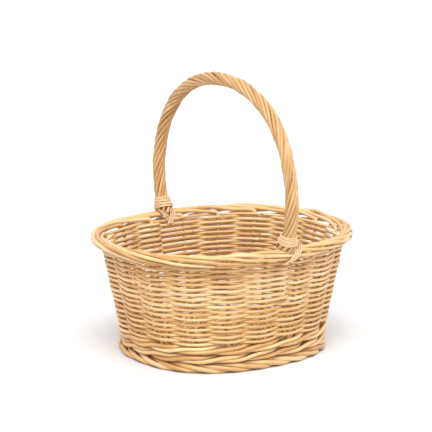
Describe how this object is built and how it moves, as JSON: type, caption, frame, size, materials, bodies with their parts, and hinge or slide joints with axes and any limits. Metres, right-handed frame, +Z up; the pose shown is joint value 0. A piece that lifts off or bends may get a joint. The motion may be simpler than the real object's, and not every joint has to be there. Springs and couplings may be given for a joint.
{
  "type": "egg collection basket",
  "caption": "Oval woven willow basket with a flared wall, rolled border, thick foot and a fixed rope-twist hoop handle across the short axis.",
  "frame": {"origin": "centre of the footprint, on the surface that the basket stands on", "axes": "+Z up, +X along the long axis of the oval, +Y along the short axis, in the plane of the handle"},
  "size_m": [0.3732, 0.3395, 0.3927],
  "materials": {
    "stake_willow": "peeled willow, satin",
    "weaver_willow": "peeled willow, satin",
    "wale_willow": "peeled willow, satin",
    "border_willow": "peeled willow, satin",
    "base_willow": "peeled willow, satin",
    "bow_willow": "peeled willow, satin",
    "strand_willow": "peeled willow, satin",
    "skein_willow": "peeled willow, satin",
    "nail_steel": "dull steel wire nail"
  },
  "bodies": {
    "root": {"base_cross_sticks": "base_willow", "base_long_sticks": "base_willow", "base_weave": "base_willow", "binding_back": "skein_willow", "binding_front": "skein_willow", "foot_border": "border_willow", "handle_bow": "bow_willow", "handle_nails": "nail_steel", "handle_strands": "strand_willow", "lacing_back": "skein_willow", "lacing_front": "skein_willow", "rim_weavers_1": "weaver_willow", "rim_weavers_2": "weaver_willow", "stake_01": "stake_willow", "stake_02": "stake_willow", "stake_03": "stake_willow", "stake_04": "stake_willow", "stake_05": "stake_willow", "stake_06": "stake_willow", "stake_07": "stake_willow", "stake_08": "stake_willow", "stake_09": "stake_willow", "stake_10": "stake_willow", "stake_11": "stake_willow", "stake_12": "stake_willow", "stake_13": "stake_willow", "stake_14": "stake_willow", "stake_15": "stake_willow", "stake_16": "stake_willow", "stake_17": "stake_willow", "stake_18": "stake_willow", "upsett_wale_1": "wale_willow", "upsett_wale_2": "wale_willow", "weaver_01": "weaver_willow", "weaver_02": "weaver_willow", "weaver_03": "weaver_willow", "weaver_04": "weaver_willow", "weaver_05": "weaver_willow", "weaver_06": "weaver_willow", "weaver_07": "weaver_willow", "weaver_08": "weaver_willow", "weaver_09": "weaver_willow", "weaver_10": "weaver_willow", "weaver_11": "weaver_willow", "weaver_12": "weaver_willow", "weaver_13": "weaver_willow", "weaver_14": "weaver_willow", "weaver_15": "weaver_willow", "weaver_16": "weaver_willow", "weaver_17": "weaver_willow", "weaver_18": "weaver_willow", "weaver_19": "weaver_willow", "weaver_20": "weaver_willow", "weaver_21": "weaver_willow", "weaver_22": "weaver_willow", "weaver_23": "weaver_willow", "weaver_24": "weaver_willow", "weaver_25": "weaver_willow", "weaver_26": "weaver_willow"}
  },
  "joints": []
}
